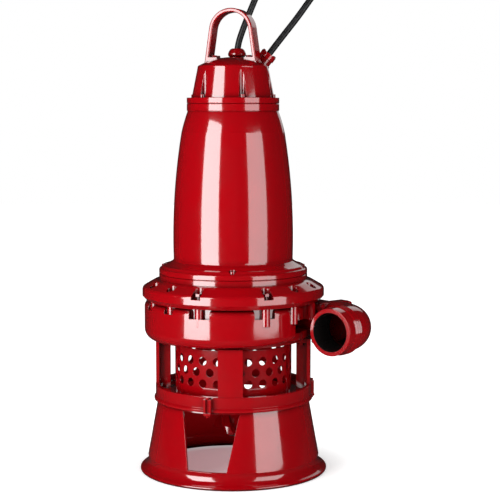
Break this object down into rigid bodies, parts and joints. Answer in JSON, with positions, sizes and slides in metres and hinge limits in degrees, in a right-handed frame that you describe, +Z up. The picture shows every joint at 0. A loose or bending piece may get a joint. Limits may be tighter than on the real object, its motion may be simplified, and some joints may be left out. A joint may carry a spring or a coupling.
{
  "type": "slurry pump",
  "caption": "Submersible slurry pump: tapered motor over a volute with strainer legs, conical base, side hose elbow, lifting hoop and two cables.",
  "frame": {"origin": "on the pump's shaft axis, at the level of the floor that the base rim stands on", "axes": "+Z up along the shaft, -Y the front, where the base window and the hose spigot's mouth face, +X to the right of the front, where the discharge elbow stands out"},
  "size_m": [0.7239, 0.594, 1.5967],
  "materials": {
    "red_paint": "glossy red two-part enamel over cast iron",
    "cable_rubber": "black chloroprene cable sheath",
    "black_rubber": "matt nitrile rubber",
    "galvanised_steel": "hot-dip galvanised",
    "gasket_fibre": "compressed fibre sheet",
    "stainless_steel": "turned stainless steel",
    "bearing_steel": "ground bearing steel",
    "seal_carbide": "lapped silicon carbide",
    "lamination_steel": "stacked electrical steel",
    "copper_winding": "varnished copper wire",
    "terminal_resin": "moulded phenolic resin",
    "wear_iron": "high-chromium white iron, as cast and ground",
    "bare_iron": "machined grey iron"
  },
  "bodies": {
    "pump_body": {"base_skirt": "red_paint", "bearing_bracket": "bare_iron", "bracket_screws": "bare_iron", "casing_gasket": "gasket_fibre", "clamp_bolts": "red_paint", "control_cable": "cable_rubber", "control_cable_grip": "galvanised_steel", "cover_o_ring": "black_rubber", "discharge_elbow": "red_paint", "discharge_gasket": "gasket_fibre", "elbow_bolts": "red_paint", "handle_screws": "red_paint", "hose_spigot": "red_paint", "leg_screws": "red_paint", "lifting_handle": "red_paint", "lower_bearing_outer": "bearing_steel", "lower_seal_seat": "seal_carbide", "motor_housing": "red_paint", "oil_housing": "red_paint", "oil_plug": "red_paint", "power_cable": "cable_rubber", "power_cable_grip": "galvanised_steel", "power_gland": "red_paint", "power_grommet": "black_rubber", "pump_cover": "red_paint", "pump_cover_bolts": "red_paint", "shoulder_screws": "red_paint", "side_gland": "red_paint", "side_gland_screws": "red_paint", "side_grommet": "black_rubber", "stator_core": "lamination_steel", "stator_windings": "copper_winding", "strainer_frame": "red_paint", "strainer_plate": "red_paint", "suction_cover": "red_paint", "terminal_board": "terminal_resin", "top_cover": "red_paint", "top_cover_screws": "red_paint", "upper_bearing_bracket": "bare_iron", "upper_bearing_outer": "bearing_steel", "upper_seal_seat": "seal_carbide", "volute_casing": "red_paint"},
    "rotor": {"shaft": "stainless_steel", "rotor_core": "lamination_steel", "impeller": "wear_iron", "impeller_nut": "stainless_steel", "agitator": "red_paint", "agitator_nut": "stainless_steel", "lower_seal_rotor": "seal_carbide", "upper_seal_rotor": "seal_carbide", "seal_spring": "stainless_steel", "lower_bearing_inner": "bearing_steel", "upper_bearing_inner": "bearing_steel"},
    "lower_cage": {"lower_bearing_balls": "bearing_steel"},
    "upper_cage": {"upper_bearing_balls": "bearing_steel"}
  },
  "joints": [
    {"name": "rotor_spin", "type": "hinge", "parent": "pump_body", "child": "rotor", "pos_m": [0, 0, 0.48], "axis": [0, 0, -1], "continuous": true},
    {"name": "lower_cage_spin", "type": "hinge", "parent": "pump_body", "child": "lower_cage", "pos_m": [0, 0, 0.67], "axis": [0, 0, -1], "continuous": true},
    {"name": "upper_cage_spin", "type": "hinge", "parent": "pump_body", "child": "upper_cage", "pos_m": [0, 0, 1.036], "axis": [0, 0, -1], "continuous": true}
  ],
  "couplings": [
    {"joint": "lower_cage_spin", "follows": "rotor_spin", "ratio": 0.4086},
    {"joint": "upper_cage_spin", "follows": "rotor_spin", "ratio": 0.3912}
  ]
}
